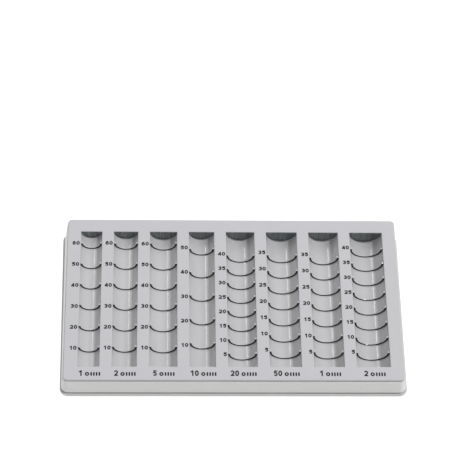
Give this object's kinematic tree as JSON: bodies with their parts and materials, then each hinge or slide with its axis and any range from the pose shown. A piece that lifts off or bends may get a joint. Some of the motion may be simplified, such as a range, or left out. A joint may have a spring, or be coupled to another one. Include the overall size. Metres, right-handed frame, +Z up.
{
  "type": "coin counting tray",
  "caption": "Sloping desktop tray with parallel half-round coin channels below a flat windowed plate; ribs and black marks in each channel count off coins.",
  "frame": {"origin": "centre of the bounding box at the table, under the middle of the tray", "axes": "+X to the right along the row of channels, +Y to the back, up the slope, +Z up"},
  "size_m": [0.2776, 0.155, 0.0311],
  "materials": {
    "plate": "fine matte",
    "shell": "satin",
    "base": "satin",
    "trough": "satin gloss",
    "mark": "matte",
    "pad": "matte",
    "rubber": "matte",
    "screw": "zinc plated"
  },
  "bodies": {
    "root": {"face_plate": "plate", "tray_body": "shell", "coin_trough_1c": "trough", "coin_trough_2c": "trough", "coin_trough_5c": "trough", "coin_trough_10c": "trough", "coin_trough_20c": "trough", "coin_trough_50c": "trough", "coin_trough_1e": "trough", "coin_trough_2e": "trough", "count_marks_1c": "mark", "count_marks_2c": "mark", "count_marks_5c": "mark", "count_marks_10c": "mark", "count_marks_20c": "mark", "count_marks_50c": "mark", "count_marks_1e": "mark", "count_marks_2e": "mark", "end_pad_1c": "pad", "end_pad_2c": "pad", "end_pad_5c": "pad", "end_pad_10c": "pad", "end_pad_20c": "pad", "end_pad_50c": "pad", "end_pad_1e": "pad", "end_pad_2e": "pad", "base_plate": "base", "rubber_feet": "rubber", "base_screws": "screw"}
  },
  "joints": []
}
